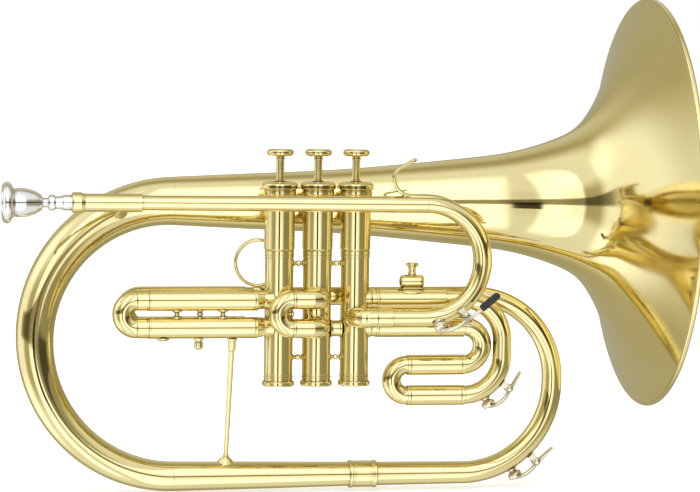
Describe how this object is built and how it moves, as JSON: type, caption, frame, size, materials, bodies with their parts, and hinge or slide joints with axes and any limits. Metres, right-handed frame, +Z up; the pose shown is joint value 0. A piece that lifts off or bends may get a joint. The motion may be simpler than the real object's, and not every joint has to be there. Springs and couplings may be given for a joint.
{
  "type": "marching mellophone",
  "caption": "Bell-front brass horn with piston valves, pull slides, sprung water keys, finger hook, lyre socket and a silver mouthpiece.",
  "frame": {"origin": "on the axis of the middle valve, level with the slide knuckles, where the hands hold the horn", "axes": "+X out of the bell, +Z up the valve stems, -Y towards the leadpipe side"},
  "size_m": [0.4497, 0.283, 0.3372],
  "materials": {
    "lacquered_brass": "clear-lacquered yellow brass, polished",
    "silver_plate": "polished silver plate",
    "nickel_alloy": "lapped nickel-copper alloy",
    "spring_steel": "drawn steel wire",
    "cork": "natural cork",
    "black_rubber": "matt rubber tube"
  },
  "bodies": {
    "horn_body": {"bell_flare": "lacquered_brass", "bell_rim": "lacquered_brass", "bell_stem": "lacquered_brass", "bottom_ferrule": "lacquered_brass", "bottom_tube": "lacquered_brass", "bottom_valve_caps": "lacquered_brass", "brace_rod": "lacquered_brass", "casing_braces": "lacquered_brass", "finger_hook": "lacquered_brass", "finger_ring": "lacquered_brass", "first_slide_sleeves": "lacquered_brass", "first_slide_struts": "lacquered_brass", "front_bow": "lacquered_brass", "leadpipe": "lacquered_brass", "left_bow": "lacquered_brass", "lyre_holder": "lacquered_brass", "main_slide_sleeves": "lacquered_brass", "rear_tube": "lacquered_brass", "receiver": "lacquered_brass", "receiver_brace": "lacquered_brass", "right_bow": "lacquered_brass", "second_slide_sleeves": "lacquered_brass", "third_slide_sleeves": "lacquered_brass", "top_valve_caps": "lacquered_brass", "tube_braces": "lacquered_brass", "valve_1_casing": "lacquered_brass", "valve_1_spring": "spring_steel", "valve_2_casing": "lacquered_brass", "valve_2_spring": "spring_steel", "valve_3_casing": "lacquered_brass", "valve_3_spring": "spring_steel", "valve_guides": "lacquered_brass", "valve_inlet_elbow": "lacquered_brass", "valve_knuckles": "lacquered_brass", "valve_outlet_elbow": "lacquered_brass", "water_key_saddles": "lacquered_brass", "water_key_springs": "spring_steel"},
    "valve_1": {"valve_1_piston": "nickel_alloy", "valve_1_stem": "lacquered_brass"},
    "valve_2": {"valve_2_piston": "nickel_alloy", "valve_2_stem": "lacquered_brass"},
    "valve_3": {"valve_3_piston": "nickel_alloy", "valve_3_stem": "lacquered_brass"},
    "first_slide": {"first_slide": "lacquered_brass"},
    "second_slide": {"second_slide": "lacquered_brass"},
    "third_slide": {"third_slide_small_bend": "lacquered_brass", "third_slide_big_bend": "lacquered_brass", "third_slide_returns": "lacquered_brass", "third_key_saddle": "lacquered_brass"},
    "third_tuning_bow": {"third_slide_tuning_bow": "lacquered_brass"},
    "main_tuning_slide": {"main_tuning_slide": "lacquered_brass"},
    "mouthpiece": {"mouthpiece": "silver_plate"},
    "front_water_key": {"front_water_key": "lacquered_brass", "front_key_cork": "cork", "front_key_grip": "black_rubber"},
    "third_water_key": {"third_water_key": "lacquered_brass", "third_key_cork": "cork"},
    "bottom_water_key": {"bottom_water_key": "lacquered_brass", "bottom_key_cork": "cork"},
    "lyre_thumbscrew": {"lyre_thumbscrew": "lacquered_brass"}
  },
  "joints": [
    {"name": "valve_1_press", "type": "slide", "parent": "horn_body", "child": "valve_1", "axis": [0, 0, -1], "range_m": [0, 0.016], "stiffness_N_per_m": 120, "springref_m": -0.015, "deforming": ["valve_1_spring"]},
    {"name": "valve_2_press", "type": "slide", "parent": "horn_body", "child": "valve_2", "axis": [0, 0, -1], "range_m": [0, 0.016], "stiffness_N_per_m": 120, "springref_m": -0.015, "deforming": ["valve_2_spring"]},
    {"name": "valve_3_press", "type": "slide", "parent": "horn_body", "child": "valve_3", "axis": [0, 0, -1], "range_m": [0, 0.016], "stiffness_N_per_m": 120, "springref_m": -0.015, "deforming": ["valve_3_spring"]},
    {"name": "first_slide_pull", "type": "slide", "parent": "horn_body", "child": "first_slide", "axis": [-1, 0, 0], "range_m": [0, 0.04]},
    {"name": "second_slide_pull", "type": "slide", "parent": "horn_body", "child": "second_slide", "axis": [-1, 0, 0], "range_m": [0, 0.009]},
    {"name": "third_slide_pull", "type": "slide", "parent": "horn_body", "child": "third_slide", "axis": [1, 0, 0], "range_m": [0, 0.025]},
    {"name": "third_tuning_bow_pull", "type": "slide", "parent": "third_slide", "child": "third_tuning_bow", "axis": [-1, 0, 0], "range_m": [0, 0.006]},
    {"name": "main_tuning_slide_pull", "type": "slide", "parent": "horn_body", "child": "main_tuning_slide", "axis": [-1, 0, 0], "range_m": [0, 0.03]},
    {"name": "mouthpiece_pull", "type": "slide", "parent": "horn_body", "child": "mouthpiece", "axis": [-1, 0, 0], "range_m": [0, 0.022]},
    {"name": "front_water_key_press", "type": "hinge", "parent": "horn_body", "child": "front_water_key", "pos_m": [0.09775, -0.02665, -0.01006], "axis": [-0.4394, -0.6428, 0.6275], "range_deg": [0, 12], "stiffness_Nm_per_rad": 0.05, "springref_deg": -28.65},
    {"name": "third_water_key_press", "type": "hinge", "parent": "third_slide", "child": "third_water_key", "pos_m": [0.13315, 0, -0.06058], "axis": [0, -1, 0], "range_deg": [0, 12], "stiffness_Nm_per_rad": 0.05, "springref_deg": -28.65},
    {"name": "bottom_water_key_press", "type": "hinge", "parent": "horn_body", "child": "bottom_water_key", "pos_m": [0.15829, 0.021, -0.11386], "axis": [0, -1, 0], "range_deg": [0, 12], "stiffness_Nm_per_rad": 0.05, "springref_deg": -28.65},
    {"name": "lyre_thumbscrew_turn", "type": "hinge", "parent": "horn_body", "child": "lyre_thumbscrew", "pos_m": [0.065, 0, 0.0124], "axis": [0, 0, 1], "range_deg": [0, 540]}
  ]
}
